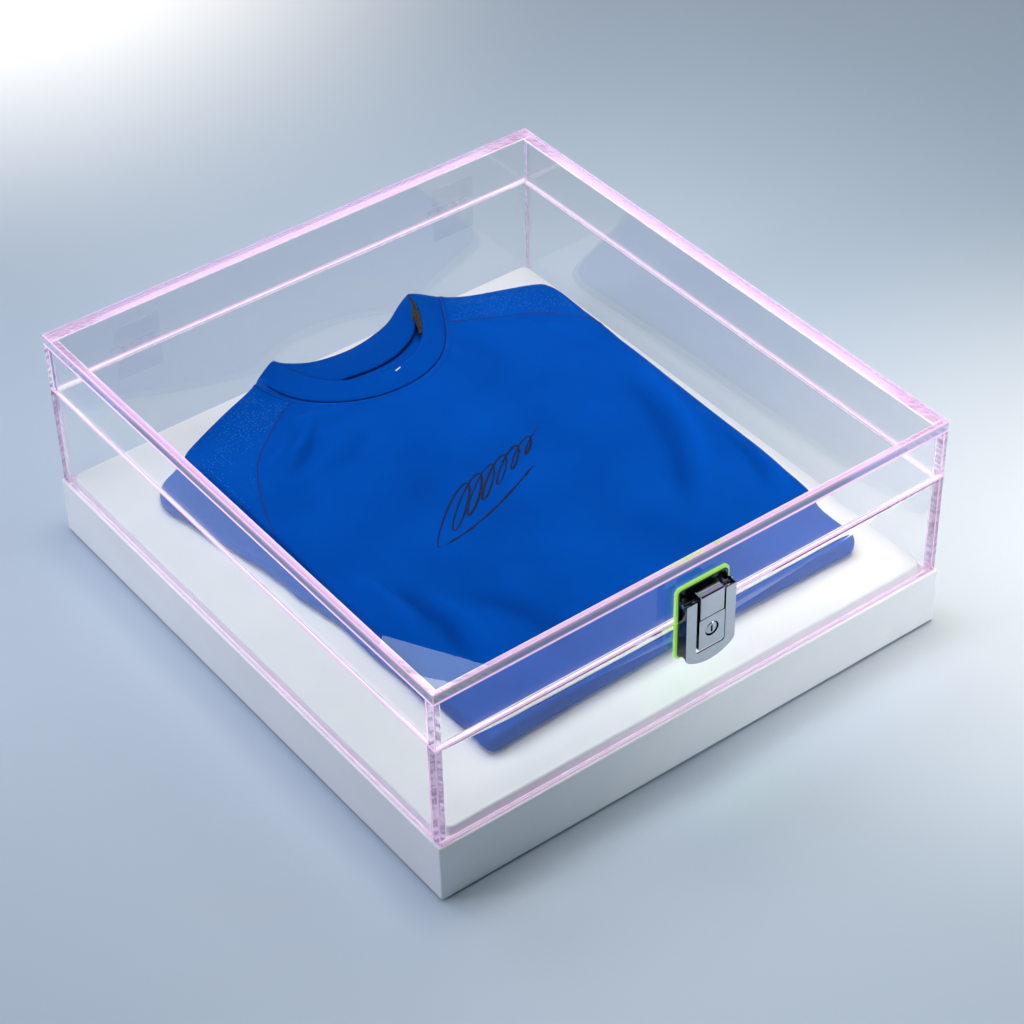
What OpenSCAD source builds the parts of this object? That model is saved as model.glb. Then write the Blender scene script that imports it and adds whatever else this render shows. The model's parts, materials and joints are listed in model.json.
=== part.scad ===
// Table-top display case for a folded jersey.
// A white plinth carries a raised platform, four bonded acrylic walls and a hinged
// acrylic lid. A lockable hasp closes the lid at the front, two stop hinges carry it
// at the back. Millimetres. X runs along the latch side, Y from the latch to the
// hinges, Z up. The origin is on the table under the middle of the plinth.

/* [Plinth] */
// Width of the plinth, along the latch side
plinth_w = 520; // [480:1:600]
// Depth of the plinth, from the latch side to the hinge side
plinth_d = 568; // [540:1:640]
// Height of the plinth above its feet
plinth_h = 56; // [45:1:80]
// Thickness of the four side rails
rail_t = 15; // [10:1:20]
// Thickness of the top board
top_board_t = 8; // [6:0.5:12]
// Thickness of the bottom board
bottom_board_t = 6; // [5:0.5:9]
// Radius of the plinth's upright corners
plinth_r = 5; // [1:0.5:10]
// Height of the rubber feet
foot_h = 2.5; // [2:0.5:6]
// Radius of a rubber foot
foot_r = 9; // [6:0.5:14]
// Distance from the plinth's sides to a foot's middle
foot_inset = 32; // [26:1:60]

/* [Acrylic box] */
// Thickness of the acrylic sheet
sheet_t = 9.5; // [6:0.5:12]
// Distance the walls stand in from the plinth's sides
wall_inset = 2; // [0:0.5:5]
// Height of the lower walls, from the plinth to the seam
wall_h = 102; // [80:1:160]
// Height of the lid, from the seam to its top face
lid_h = 57; // [45:1:90]
// Gap between the walls and the lid at the seam
seam_gap = 0.4; // [0.2:0.1:1]
// Height of the raised platform between the walls
platform_h = 9; // [4:0.5:15]
// Radius of the platform's corners
platform_r = 9; // [2:0.5:20]
// Clearance between the platform and the walls
platform_gap = 0.5; // [0.2:0.1:2]

/* [Latch] */
// Middle of the latch, measured from the middle of the case
latch_x = -3.6; // [-10:0.1:10]
// Width of the gasket behind the latch
gasket_w = 54; // [53:0.1:56]
// Height of the gasket above the seam
gasket_up = 34.6; // [33:0.1:40]
// Height of the gasket below the seam
gasket_down = 38.2; // [36:0.1:44]
// Thickness of the gasket
gasket_t = 2.5; // [1:0.1:3]
// Margin of gasket left showing round the plates
gasket_rim = 2.2; // [1.8:0.1:3]
// Thickness of the two mounting plates
plate_t = 1.5; // [1:0.1:2]
// Width of the upper block, which carries the hasp
bridge_w = 24.2; // [22:0.1:26]
// Distance from the case to the front of the upper block
bridge_out = 15; // [14:0.1:16]
// Width of the lock housing
housing_w = 25.8; // [25:0.1:26]
// Distance from the case to the front of the lock housing
housing_out = 14.8; // [14:0.1:15]
// Radius of the lock plug
plug_r = 6.75; // [6:0.05:7]
// Width of the hasp over both arms
hasp_w = 49.8; // [49:0.1:50]
// Thickness of the hasp's sheet
hasp_t = 1.2; // [1:0.1:1.6]
// Width of the hasp's window
window_w = 29.4; // [29:0.1:30]

/* [Hinges] */
// Distance from the middle of the case to each hinge
hinge_x = 170; // [60:5:200]
// Length of a hinge along its pin
hinge_len = 44; // [30:1:60]
// Height of a hinge leaf
leaf_h = 26; // [20:1:34]
// Thickness of a hinge leaf
leaf_t = 2.5; // [2:0.1:3]
// Radius of the knuckles
knuckle_r = 4.2; // [3.5:0.1:4.4]
// Radius of the hinge pins
hinge_pin_r = 1.5; // [1.2:0.1:2]

/* [Jersey] */
// Thickness of the whole folded jersey
jersey_t = 20; // [14:1:30]
// Width of the ribbed collar
collar_w = 36; // [24:1:40]
// Height of the collar above the folded jersey
collar_h = 8; // [4:1:12]

/* [Hidden] */

$fn = 48;
eps = 0.01; // overshoot of a cutting shape past the face it opens

// Colours
painted_white = [0.93, 0.94, 0.95];
clear_acrylic = [0.93, 0.90, 0.97, 0.25];
clear_hinge = [0.95, 0.95, 0.98, 0.35];
chrome_grey = [0.72, 0.74, 0.77];
lime_green = [0.68, 0.95, 0.25];
royal_blue = [0.02, 0.26, 0.72];
collar_blue = [0.02, 0.22, 0.66];
rubber_black = [0.08, 0.08, 0.08];

// Heights
plinth_top = foot_h + plinth_h;
seam_z = plinth_top + wall_h;
lid_z = seam_z + seam_gap / 2; // lower edge of the lid
lid_top_z = seam_z + lid_h;
platform_z = plinth_top + platform_h; // the face that the jersey lies on

// Plan of the acrylic box
box_w = plinth_w - 2 * wall_inset;
box_d = plinth_d - 2 * wall_inset;
inner_w = box_w - 2 * sheet_t;
inner_d = box_d - 2 * sheet_t;
lower_wall_h = wall_h - seam_gap / 2;
lid_wall_h = lid_h - seam_gap / 2 - sheet_t;

// Plinth fastenings
block = 34; // side of a square corner block
block_gap = 0.2; // clearance round a corner block
screw_r = 2; // shank radius of a board screw
screw_len = 24;
screw_head_r = 4;
screw_head_h = 2.4;
screw_clear = 0.3; // clearance round a screw in the boards
screw_grip = 0.05; // radial clearance of a screw in its pilot hole
screw_sink = 0.2; // a board screw's head lies this deep in its countersink
screw_cross = [4, 1, 1.4]; // length, width and depth of a board screw's cross

// Latch, measured from the case's face (out) and from the seam (up)
plate_out = gasket_t + plate_t; // front of the mounting plates
plate_w = gasket_w - 2 * gasket_rim;
plate_seam = 0.7; // distance from the seam to each plate
plate_r = 3.5;
gasket_r = 5.5;
housing_low = -27.2;
housing_high = 3.6; // the housing reaches up in front of the lid
housing_back_up = 4.6; // back of the part in front of the lid
bridge_low = 4.0;
bridge_high = 27.9;
bridge_drop = 0.7; // fall of the block's top towards the front
plug_up = -10; // the plug's axis
plug_back = 7.8;
plug_recess = 0.2; // the plug sits this far inside the housing
plug_fit = 0.05; // radial running clearance of the plug
cam_back = 6.2;
cam_reach = 15.4; // from the plug's axis to the cam's tip
cam_half = 2.5; // half the width of the cam's tongue
cam_hub_r = 7.1;
cam_gap = 0.4; // clearance round the cam in its pocket
cam_front_gap = 0.3; // clearance in front of the cam
tenon = 5.6; // side of the square on the plug that drives the cam
cam_screw_r = 1.25;
cam_screw_back = 5.0;
cam_screw_len = 2.8; // length inside the plug
cam_screw_head_r = 3.7;
cam_screw_slot = [3.2, 0.7, 0.6]; // length, width and depth of the slot
key_slot = [1.8, 7, 2.4];
plate_screw_x = 17;
plate_screw_r = 1.5;
plate_screw_head_r = 2.75;
plate_screw_head_h = 1.4;
plate_screw_len = 11;
plate_screw_end = plate_out - plate_screw_len;
hole_spare = 0.5; // depth of a blind hole past its screw's end
plate_screw_cross = [3.2, 0.7, 0.9]; // length, width and depth of the cross
lock_screw_up = -24;
keeper_screw_up = 14;

// Hasp
hasp_back = 12.4; // the housing stands proud of the sheet, in its window
hasp_front = hasp_back + hasp_t;
hasp_axis_out = 8.5;
hasp_axis_up = 22;
hasp_high = 23.5;
hasp_pin_r = 1.5;
hasp_pin_fit = 0.05; // radial running clearance of the ears on the pin
hasp_pin_len = 50.4;
window_low = -30.6; // lower edge of the window
hasp_arc_r = 38; // radius of the curved lower edge
hasp_arc_up = -5.2; // centre of that radius
hasp_corner_r = 7;
flange_back = 4.6; // back edge of the side flanges
flange_top = [[11.2, 16], [7, 6], [4.6, 4]]; // their upper edge falls towards the plate
ear_r = 4.2;
catch_x = 13.4; // inner edge of the catch, beside the housing
catch_shelf = -7; // the cam lies under this shelf when locked
catch_t = 1.2;
catch_back = 4.6;
catch_low = -15;

// Hinges, measured from the case's back face (out) and from the seam (up)
hinge_axis = 4.7;
leaf_gap = 1; // from the seam to each leaf
knuckles = 5;
knuckle_gap = 0.4; // end gap between knuckles
knuckle_clear = 0.4; // clearance round the other leaf's knuckles
hinge_fit = 0.05; // radial running clearance of the lid's knuckles
stop_out = 12.7; // front of the stop that the opened lid rests on
stop_t = 2.5;
stop_arm_up = -5; // top of the arm that passes under the knuckles
stop_gap = 0.3; // the stop ends this far below the seam

// Jersey
jersey_z = platform_z;
jersey_mid = jersey_z + jersey_t / 2;
jersey_top = jersey_z + jersey_t;
cloth_r = 9; // rounding of the folded corners
collar_x = 30; // middle of the neck opening
collar_y = 231;
collar_turn = 5;
neck_ry = 0.55; // the neck is an oval of this proportion
neck_r = 62;
collar_back = 24; // the collar stops this far behind the oval's middle
collar_span = 400; // wider than the whole collar

// ---- helpers ----

// A box by its lowest corner and its size.
module block_at(low, size) {
    translate(low) cube(size);
}

// A flat plate with round corners, standing in the XZ plane, from out = 0 to t.
module round_plate(w, low, high, r, t) {
    h = high - low;
    translate([0, t, low + h / 2])
        rotate([90, 0, 0])
            linear_extrude(t)
                union() {
                    square([w - 2 * r, h], center = true);
                    square([w, h - 2 * r], center = true);
                    for (sx = [-1, 1], sz = [-1, 1])
                        translate([sx * (w / 2 - r), sz * (h / 2 - r)]) circle(r);
                }
}

// Latch pieces are drawn with Y pointing out of the case and Z from the seam.
module at_latch() {
    translate([latch_x, -box_d / 2, seam_z]) mirror([0, 1, 0]) children();
}

// Hinge pieces likewise, at the back of the case.
module at_hinge(side) {
    translate([side * hinge_x, box_d / 2, seam_z]) children();
}

// A cylinder that runs along the outward direction.
module out_cylinder(r, from, to, fn = 48) {
    translate([0, to, 0]) rotate([90, 0, 0]) cylinder(r = r, h = to - from, $fn = fn);
}

// A cylinder that runs along X, centred.
module x_cylinder(r, len) {
    rotate([0, 90, 0]) cylinder(r = r, h = len, center = true);
}

// ---- plinth ----

module plinth_outline() {
    union() {
        square([plinth_w - 2 * plinth_r, plinth_d], center = true);
        square([plinth_w, plinth_d - 2 * plinth_r], center = true);
        for (sx = [-1, 1], sy = [-1, 1])
            translate([sx * (plinth_w / 2 - plinth_r), sy * (plinth_d / 2 - plinth_r)])
                circle(plinth_r);
    }
}

// The front and back rails run the full width and carry the round corners.
module long_rail(side) {
    color(painted_white)
        translate([0, 0, foot_h])
            linear_extrude(plinth_h - top_board_t)
                intersection() {
                    plinth_outline();
                    translate([0, side * (plinth_d - rail_t) / 2])
                        square([plinth_w, rail_t], center = true);
                }
}

module short_rail(side) {
    len = plinth_d - 2 * rail_t;
    color(painted_white)
        block_at(
            [side > 0 ? plinth_w / 2 - rail_t : -plinth_w / 2, -len / 2, foot_h],
            [rail_t, len, plinth_h - top_board_t]
        );
}

module plinth_front_rail() { long_rail(-1); }
module plinth_back_rail() { long_rail(1); }
module plinth_left_rail() { short_rail(-1); }
module plinth_right_rail() { short_rail(1); }

module plinth_top_board() {
    color(painted_white)
        translate([0, 0, plinth_top - top_board_t])
            linear_extrude(top_board_t) plinth_outline();
}

// The four places where a screw joins the bottom board to a corner block.
module at_corners(dx, dy) {
    for (sx = [-1, 1], sy = [-1, 1])
        translate([sx * (plinth_w / 2 - dx), sy * (plinth_d / 2 - dy), 0]) children();
}

module plinth_bottom_board() {
    w = plinth_w - 2 * rail_t;
    d = plinth_d - 2 * rail_t;
    color(painted_white)
        difference() {
            block_at([-w / 2, -d / 2, foot_h], [w, d, bottom_board_t]);
            at_corners(rail_t + block / 2 + foot_inset, rail_t + block / 2) {
                translate([0, 0, foot_h - eps])
                    cylinder(r = screw_r + screw_clear, h = bottom_board_t + 2 * eps);
                translate([0, 0, foot_h - eps])
                    cylinder(r = screw_head_r + screw_clear, h = screw_head_h + eps);
            }
        }
}

// Blocks glued into the corners, long enough for the screws beside the feet.
module corner_blocks() {
    len = block + foot_inset;
    low = foot_h + bottom_board_t;
    h = plinth_h - top_board_t - bottom_board_t;
    color(painted_white)
        difference() {
            at_corners(rail_t + block_gap + len / 2, rail_t + block_gap + block / 2)
                translate([0, 0, low + h / 2])
                    cube([len, block, h], center = true);
            at_corners(rail_t + block / 2 + foot_inset, rail_t + block / 2)
                translate([0, 0, low - eps])
                    cylinder(r = screw_r + screw_grip, h = screw_len);
        }
}

module board_screws() {
    color(chrome_grey)
        at_corners(rail_t + block / 2 + foot_inset, rail_t + block / 2)
            translate([0, 0, foot_h + screw_sink])
                difference() {
                    union() {
                        cylinder(r = screw_head_r, h = screw_head_h - screw_sink);
                        cylinder(r = screw_r, h = screw_len);
                    }
                    for (turn = [0, 90])
                        rotate([0, 0, turn])
                            translate([-screw_cross[0] / 2, -screw_cross[1] / 2, -eps])
                                cube(screw_cross);
                }
}

// Feet with a bevelled lower edge.
module rubber_feet() {
    color(rubber_black)
        at_corners(foot_inset, foot_inset)
            rotate_extrude()
                polygon([
                    [0, 0], [foot_r - 1, 0], [foot_r, 1], [foot_r, foot_h], [0, foot_h]
                ]);
}

module display_platform() {
    w = inner_w - 2 * platform_gap;
    d = inner_d - 2 * platform_gap;
    color(painted_white)
        translate([0, 0, plinth_top])
            linear_extrude(platform_h)
                union() {
                    square([w - 2 * platform_r, d], center = true);
                    square([w, d - 2 * platform_r], center = true);
                    for (sx = [-1, 1], sy = [-1, 1])
                        translate([sx * (w / 2 - platform_r), sy * (d / 2 - platform_r)])
                            circle(platform_r);
                }
}

// ---- acrylic walls and lid ----

// The front and back sheets run the full width, the side sheets fit between them.
module wide_sheet(side, low, h) {
    block_at(
        [-box_w / 2, side > 0 ? box_d / 2 - sheet_t : -box_d / 2, low],
        [box_w, sheet_t, h]
    );
}

module side_sheet(side, low, h) {
    block_at(
        [side > 0 ? box_w / 2 - sheet_t : -box_w / 2, -inner_d / 2, low],
        [sheet_t, inner_d, h]
    );
}

// Blind holes for a pair of latch screws, in front sheets.
module screw_holes(up) {
    at_latch()
        for (sx = [-1, 1])
            translate([sx * plate_screw_x, 0, up])
                out_cylinder(plate_screw_r + screw_grip, plate_screw_end - hole_spare, eps);
}

module wall_front() {
    color(clear_acrylic)
        difference() {
            wide_sheet(-1, plinth_top, lower_wall_h);
            screw_holes(lock_screw_up);
        }
}

module wall_back() { color(clear_acrylic) wide_sheet(1, plinth_top, lower_wall_h); }
module wall_left() { color(clear_acrylic) side_sheet(-1, plinth_top, lower_wall_h); }
module wall_right() { color(clear_acrylic) side_sheet(1, plinth_top, lower_wall_h); }

module lid_top() {
    color(clear_acrylic)
        block_at(
            [-box_w / 2, -box_d / 2, lid_top_z - sheet_t],
            [box_w, box_d, sheet_t]
        );
}

module lid_front() {
    color(clear_acrylic)
        difference() {
            wide_sheet(-1, lid_z, lid_wall_h);
            screw_holes(keeper_screw_up);
        }
}

module lid_back() { color(clear_acrylic) wide_sheet(1, lid_z, lid_wall_h); }
module lid_left() { color(clear_acrylic) side_sheet(-1, lid_z, lid_wall_h); }
module lid_right() { color(clear_acrylic) side_sheet(1, lid_z, lid_wall_h); }

// ---- hinges ----

knuckle_len = hinge_len / knuckles;

// Knuckles with the numbers in the list, counted from the low X end.
module knuckle_row(numbers, r, bore_r) {
    for (n = numbers)
        translate([-hinge_len / 2 + (n + 0.5) * knuckle_len, hinge_axis, 0])
            difference() {
                x_cylinder(r, knuckle_len - knuckle_gap);
                x_cylinder(bore_r, knuckle_len);
            }
}

// Room for the other leaf's knuckles.
module knuckle_room(numbers) {
    for (n = numbers)
        translate([-hinge_len / 2 + (n + 0.5) * knuckle_len, hinge_axis, 0])
            x_cylinder(knuckle_r + knuckle_clear, knuckle_len + knuckle_gap);
}

case_knuckles = [0, 2, 4];
lid_knuckles = [1, 3];

// The lower leaf also carries the stop: an arm under the knuckles with a raised end.
module lower_leaf(side) {
    color(clear_hinge)
        at_hinge(side) {
            difference() {
                union() {
                    block_at(
                        [-hinge_len / 2, 0, -leaf_gap - leaf_h],
                        [hinge_len, leaf_t, leaf_h]
                    );
                    block_at(
                        [-hinge_len / 2, 0, stop_arm_up - stop_t],
                        [hinge_len, stop_out, stop_t]
                    );
                    block_at(
                        [-hinge_len / 2, stop_out - stop_t, stop_arm_up - stop_t],
                        [hinge_len, stop_t, stop_t - stop_arm_up - stop_gap]
                    );
                }
                knuckle_room(lid_knuckles);
                translate([0, hinge_axis, 0]) x_cylinder(knuckle_r - 0.5, hinge_len + 1);
            }
            knuckle_row(case_knuckles, knuckle_r, hinge_pin_r);
        }
}

module upper_leaf(side) {
    color(clear_hinge)
        at_hinge(side) {
            difference() {
                block_at([-hinge_len / 2, 0, leaf_gap], [hinge_len, leaf_t, leaf_h]);
                knuckle_room(case_knuckles);
                translate([0, hinge_axis, 0]) x_cylinder(knuckle_r - 0.5, hinge_len + 1);
            }
            knuckle_row(lid_knuckles, knuckle_r, hinge_pin_r + hinge_fit);
        }
}

module hinge_pin(side) {
    color(clear_hinge)
        at_hinge(side)
            translate([0, hinge_axis, 0]) x_cylinder(hinge_pin_r, hinge_len - knuckle_gap);
}

module hinge_leaf_lower_left() { lower_leaf(-1); }
module hinge_leaf_lower_right() { lower_leaf(1); }
module hinge_leaf_upper_left() { upper_leaf(-1); }
module hinge_leaf_upper_right() { upper_leaf(1); }
module hinge_pin_left() { hinge_pin(-1); }
module hinge_pin_right() { hinge_pin(1); }

// ---- latch: the half on the case ----

// A gasket or plate that stops short of the seam, pierced for its two screws.
module latch_sheet(w, low, high, r, from, to, screw_up) {
    difference() {
        translate([0, from, 0]) {
            round_plate(w, low, high, r, to - from);
            // The edge along the seam is straight.
            if (low < -plate_seam)
                block_at([-w / 2, 0, high - r], [w, to - from, r]);
            else
                block_at([-w / 2, 0, low], [w, to - from, r]);
        }
        for (sx = [-1, 1])
            translate([sx * plate_screw_x, 0, screw_up])
                out_cylinder(plate_screw_r + screw_grip, from - eps, to + eps);
    }
}

module lock_gasket() {
    color(lime_green)
        at_latch()
            latch_sheet(
                gasket_w, -gasket_down, -seam_gap / 2, gasket_r, 0, gasket_t, lock_screw_up
            );
}

module lock_plate() {
    color(chrome_grey)
        at_latch()
            latch_sheet(
                plate_w, -gasket_down + gasket_rim, -plate_seam, plate_r,
                gasket_t, plate_out, lock_screw_up
            );
}

// The room in which the cam turns from straight down to sideways.
module cam_pocket() {
    reach = cam_reach + cam_gap;
    translate([0, 0, plug_up]) {
        intersection() {
            out_cylinder(reach, plate_out - eps, plug_back + cam_front_gap);
            block_at(
                [-cam_half - cam_gap, 0, -reach],
                [reach + cam_half + cam_gap, housing_out, reach + cam_half + cam_gap]
            );
        }
        out_cylinder(cam_hub_r + cam_gap, plate_out - eps, plug_back + cam_front_gap);
    }
}

module lock_housing() {
    h = housing_high - housing_low;
    color(chrome_grey)
        at_latch()
            difference() {
                translate([0, plate_out, 0])
                    round_plate(
                        housing_w, housing_low, housing_high, 1.5, housing_out - plate_out
                    );
                // Step back in front of the lid's plate.
                block_at(
                    [-housing_w, 0, -plate_seam],
                    [2 * housing_w, housing_back_up, h]
                );
                cam_pocket();
                translate([0, 0, plug_up])
                    out_cylinder(plug_r + plug_fit, plate_out, housing_out + eps, 64);
            }
}

// A pair of round-head screws with a cross recess.
module plate_screws(up) {
    head_front = plate_out + plate_screw_head_h;
    cross = plate_screw_cross;
    color(chrome_grey)
        at_latch()
            for (sx = [-1, 1])
                translate([sx * plate_screw_x, 0, up])
                    difference() {
                        union() {
                            out_cylinder(plate_screw_r, plate_screw_end, plate_out + eps);
                            out_cylinder(plate_screw_head_r, plate_out, head_front);
                        }
                        for (turn = [0, 90])
                            rotate([0, turn, 0])
                                block_at(
                                    [-cross[0] / 2, head_front - cross[2], -cross[1] / 2],
                                    [cross[0], cross[2] + eps, cross[1]]
                                );
                    }
}

module lock_screws() { plate_screws(lock_screw_up); }

module lock_plug() {
    front = housing_out - plug_recess;
    color(chrome_grey)
        at_latch()
            translate([0, 0, plug_up])
                difference() {
                    union() {
                        out_cylinder(plug_r, plug_back, front, 64);
                        block_at(
                            [-tenon / 2, cam_back, -tenon / 2],
                            [tenon, plug_back - cam_back + eps, tenon]
                        );
                    }
                    // Key slot
                    block_at(
                        [-key_slot[0] / 2, front - key_slot[2], -key_slot[1] / 2],
                        [key_slot[0], key_slot[2] + eps, key_slot[1]]
                    );
                    out_cylinder(cam_screw_r, cam_back - eps, cam_back + cam_screw_len);
                }
}

// The tongue points down when the lock is open and sideways when it is locked.
module lock_cam() {
    color(chrome_grey)
        at_latch()
            translate([0, 0, plug_up])
                difference() {
                    union() {
                        out_cylinder(cam_hub_r, cam_back, plug_back);
                        intersection() {
                            out_cylinder(cam_reach, cam_back, plug_back);
                            block_at(
                                [-cam_half, 0, -cam_reach],
                                [2 * cam_half, housing_out, cam_reach]
                            );
                        }
                    }
                    block_at(
                        [-tenon / 2 - plug_fit, 0, -tenon / 2 - plug_fit],
                        [tenon + 2 * plug_fit, housing_out, tenon + 2 * plug_fit]
                    );
                }
}

module cam_screw() {
    color(chrome_grey)
        at_latch()
            translate([0, 0, plug_up])
                difference() {
                    union() {
                        out_cylinder(cam_screw_head_r, cam_screw_back, cam_back);
                        out_cylinder(cam_screw_r, cam_back - eps, cam_back + cam_screw_len);
                    }
                    block_at(
                        [-cam_screw_slot[0] / 2, cam_screw_back - eps, -cam_screw_slot[1] / 2],
                        [cam_screw_slot[0], cam_screw_slot[2] + eps, cam_screw_slot[1]]
                    );
                }
}

// ---- latch: the half on the lid ----

module keeper_gasket() {
    color(lime_green)
        at_latch()
            latch_sheet(
                gasket_w, seam_gap / 2, gasket_up, gasket_r, 0, gasket_t, keeper_screw_up
            );
}

module keeper_plate() {
    color(chrome_grey)
        at_latch()
            latch_sheet(
                plate_w, plate_seam, gasket_up - gasket_rim, plate_r,
                gasket_t, plate_out, keeper_screw_up
            );
}

// The block whose side profile falls towards the front, bored for the hasp's pin.
module keeper_bridge() {
    color(chrome_grey)
        at_latch()
            difference() {
                translate([-bridge_w / 2, 0, 0])
                    rotate([90, 0, 90])
                        linear_extrude(bridge_w)
                            polygon([
                                [plate_out, bridge_low],
                                [bridge_out, bridge_low],
                                [bridge_out, bridge_high - bridge_drop],
                                [plate_out, bridge_high]
                            ]);
                translate([0, hasp_axis_out, hasp_axis_up])
                    x_cylinder(hasp_pin_r, bridge_w + 1);
            }
}

module keeper_screws() { plate_screws(keeper_screw_up); }

module hasp_pin() {
    color(chrome_grey)
        at_latch()
            translate([0, hasp_axis_out, hasp_axis_up])
                x_cylinder(hasp_pin_r, hasp_pin_len);
}

// ---- hasp ----

// Lower edge of the hasp: one wide arc that runs into two tighter corners.
corner_x = hasp_w / 2 - hasp_corner_r;
corner_up = hasp_arc_up - sqrt(pow(hasp_arc_r - hasp_corner_r, 2) - pow(corner_x, 2));
arc_half = atan2(corner_x, hasp_arc_up - corner_up);

function arc_points(x, up, r, from, to, steps) = [
    for (i = [0 : steps])
        let (a = from + (to - from) * i / steps) [x + r * sin(a), up - r * cos(a)]
];

hasp_outline = concat(
    arc_points(-corner_x, corner_up, hasp_corner_r, -90, -arc_half, 7),
    arc_points(0, hasp_arc_up, hasp_arc_r, -arc_half + 4, arc_half - 4, 11),
    arc_points(corner_x, corner_up, hasp_corner_r, arc_half, 90, 7),
    [[hasp_w / 2, hasp_high], [-hasp_w / 2, hasp_high]]
);

module hasp_sheet() {
    window_r = 3;
    open_top = 60; // the window runs out past the sheet's upper edge
    translate([0, hasp_front, 0])
        rotate([90, 0, 0])
            linear_extrude(hasp_t)
                difference() {
                    polygon(hasp_outline);
                    translate([0, window_low + window_r]) {
                        translate([-window_w / 2, 0]) square([window_w, open_top]);
                        translate([-window_w / 2 + window_r, -window_r])
                            square([window_w - 2 * window_r, open_top]);
                        for (sx = [-1, 1])
                            translate([sx * (window_w / 2 - window_r), 0]) circle(window_r);
                    }
                }
}

// The side flange is deep beside the lock and narrow below the ear on the pin.
module hasp_flange(side) {
    x = side > 0 ? hasp_w / 2 - hasp_t : -hasp_w / 2;
    difference() {
        union() {
            translate([x, 0, 0])
                rotate([90, 0, 90])
                    linear_extrude(hasp_t)
                        polygon(concat(
                            [[flange_back, corner_up], [hasp_front, corner_up]],
                            [[hasp_front, hasp_high], [flange_top[0][0], hasp_high]],
                            flange_top
                        ));
            translate([x + hasp_t / 2, hasp_axis_out, hasp_axis_up])
                x_cylinder(ear_r, hasp_t);
        }
        // The ear keeps its round top.
        translate([x - 1, hasp_axis_out - eps, hasp_high])
            cube([hasp_t + 2, hasp_front, ear_r]);
        translate([x + hasp_t / 2, hasp_axis_out, hasp_axis_up])
            x_cylinder(hasp_pin_r + hasp_pin_fit, hasp_t + 1);
    }
}

// The catch on the right arm: a shelf over the cam and a lip that hangs behind it.
module hasp_catch() {
    w = hasp_w / 2 - catch_x;
    block_at(
        [catch_x, catch_back, catch_shelf],
        [w, hasp_back - catch_back + eps, catch_t]
    );
    block_at(
        [catch_x, catch_back, catch_low],
        [w, catch_t, catch_shelf - catch_low + catch_t]
    );
}

module hasp_bail() {
    color(chrome_grey)
        at_latch() {
            hasp_sheet();
            for (side = [-1, 1]) hasp_flange(side);
            hasp_catch();
        }
}

// ---- jersey ----

// An outline with every corner rounded like folded cloth.
module cloth_outline(points) {
    offset(r = cloth_r, $fn = 24) offset(delta = -cloth_r) polygon(points);
}

module cloth_layer(points, low, high) {
    color(royal_blue) translate([0, 0, low]) linear_extrude(high - low) cloth_outline(points);
}

// The torso's back, folded under, with both sleeves turned in.
module jersey_back_layer() {
    cloth_layer([
        [-172, 214], [-104, 246], [-46, 262], [-20, 246], [20, 238], [72, 246], [106, 264],
        [166, 250], [232, 230], [232, 190], [226, 60], [219, -165], [219, -224],
        [-172, -224], [-174, -150]
    ], jersey_z, jersey_mid);
}

// The torso's front, from the shoulders to the fold at the hem.
module jersey_front_layer() {
    cloth_layer([
        [-170, 212], [-104, 244], [-46, 260], [-20, 244], [20, 236], [72, 244], [106, 262],
        [166, 248], [230, 228], [230, 190], [224, 60], [217, -165], [215, -221],
        [-170, -221], [-173, -150]
    ], jersey_mid, jersey_top);
}

// The left sleeve, which shows beyond the torso where it is folded under.
module jersey_sleeve_fold() {
    cloth_layer([
        [-175, 216], [-200, 206], [-216, 180], [-208, 130], [-195, 52], [-191, 8],
        [-182, -60], [-175, -156]
    ], jersey_z, jersey_mid);
}

// The ribbed collar: an oval band round the neck opening.
module jersey_collar() {
    color(collar_blue)
        translate([collar_x, collar_y, jersey_top])
            rotate([0, 0, collar_turn])
                linear_extrude(collar_h)
                    intersection() {
                        scale([1, neck_ry])
                            difference() {
                                circle(neck_r + collar_w, $fn = 72);
                                circle(neck_r, $fn = 72);
                            }
                        translate([-collar_span / 2, collar_back - collar_span])
                            square(collar_span);
                    }
}

plinth_front_rail();
plinth_back_rail();
plinth_left_rail();
plinth_right_rail();
plinth_top_board();
plinth_bottom_board();
corner_blocks();
board_screws();
rubber_feet();
display_platform();
wall_front();
wall_back();
wall_left();
wall_right();
lid_top();
lid_front();
lid_back();
lid_left();
lid_right();
hinge_leaf_lower_left();
hinge_leaf_lower_right();
hinge_leaf_upper_left();
hinge_leaf_upper_right();
hinge_pin_left();
hinge_pin_right();
lock_gasket();
lock_plate();
lock_housing();
lock_screws();
keeper_gasket();
keeper_plate();
keeper_bridge();
keeper_screws();
hasp_pin();
hasp_bail();
lock_plug();
lock_cam();
cam_screw();
jersey_back_layer();
jersey_front_layer();
jersey_sleeve_fold();
jersey_collar();
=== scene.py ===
import json
import math

import bmesh
import bpy
import numpy as np
from mathutils import Matrix, Vector, noise
from mathutils.bvhtree import BVHTree


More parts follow.
